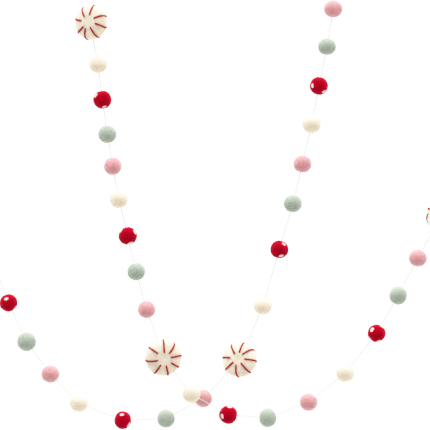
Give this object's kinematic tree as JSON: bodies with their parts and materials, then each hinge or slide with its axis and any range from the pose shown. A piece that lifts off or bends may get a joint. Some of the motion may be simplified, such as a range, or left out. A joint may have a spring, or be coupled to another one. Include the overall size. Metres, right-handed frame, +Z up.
{
  "type": "felt ball garland",
  "caption": "Felt ball garland: small felt balls and larger stitched peppermint sweets threaded on white string, hung in two crossing swags with a small hanging loop at each end.",
  "frame": {"origin": "on the level line through the tops of the two upper hanging loops, about midway between them", "axes": "+Z up, +X to the viewer's right along the swags, -Y towards the viewer, through the front of the garland"},
  "size_m": [0.6109, 0.0455, 0.5841],
  "materials": {
    "cream_felt": "matte wool felt",
    "mint_felt": "matte wool felt",
    "pink_felt": "matte wool felt",
    "red_felt": "matte wool felt with felted white dots",
    "sweet_felt": "matte wool felt",
    "red_yarn": "twisted yarn",
    "white_string": "twisted cotton string"
  },
  "bodies": {
    "root": {"front_01_peppermint": "sweet_felt", "front_02_cream_ball": "cream_felt", "front_03_red_ball": "red_felt", "front_04_mint_ball": "mint_felt", "front_05_pink_ball": "pink_felt", "front_06_cream_ball": "cream_felt", "front_07_red_ball": "red_felt", "front_08_mint_ball": "mint_felt", "front_09_pink_ball": "pink_felt", "front_10_peppermint": "sweet_felt", "front_11_cream_ball": "cream_felt", "front_12_red_ball": "red_felt", "front_13_mint_ball": "mint_felt", "front_14_pink_ball": "pink_felt", "front_15_cream_ball": "cream_felt", "front_16_red_ball": "red_felt", "front_17_mint_ball": "mint_felt", "front_18_pink_ball": "pink_felt", "front_19_peppermint": "sweet_felt", "back_01_red_ball": "red_felt", "back_02_mint_ball": "mint_felt", "back_03_pink_ball": "pink_felt", "back_04_cream_ball": "cream_felt", "back_05_red_ball": "red_felt", "back_06_mint_ball": "mint_felt", "back_07_pink_ball": "pink_felt", "back_08_peppermint": "sweet_felt", "back_09_cream_ball": "cream_felt", "back_10_red_ball": "red_felt", "back_11_mint_ball": "mint_felt", "back_12_pink_ball": "pink_felt", "back_13_cream_ball": "cream_felt", "back_14_red_ball": "red_felt", "back_15_mint_ball": "mint_felt", "back_16_pink_ball": "pink_felt", "front_string": "white_string", "back_string": "white_string", "front_start_knot": "white_string", "front_end_knot": "white_string", "back_start_knot": "white_string", "back_end_knot": "white_string"}
  },
  "joints": []
}
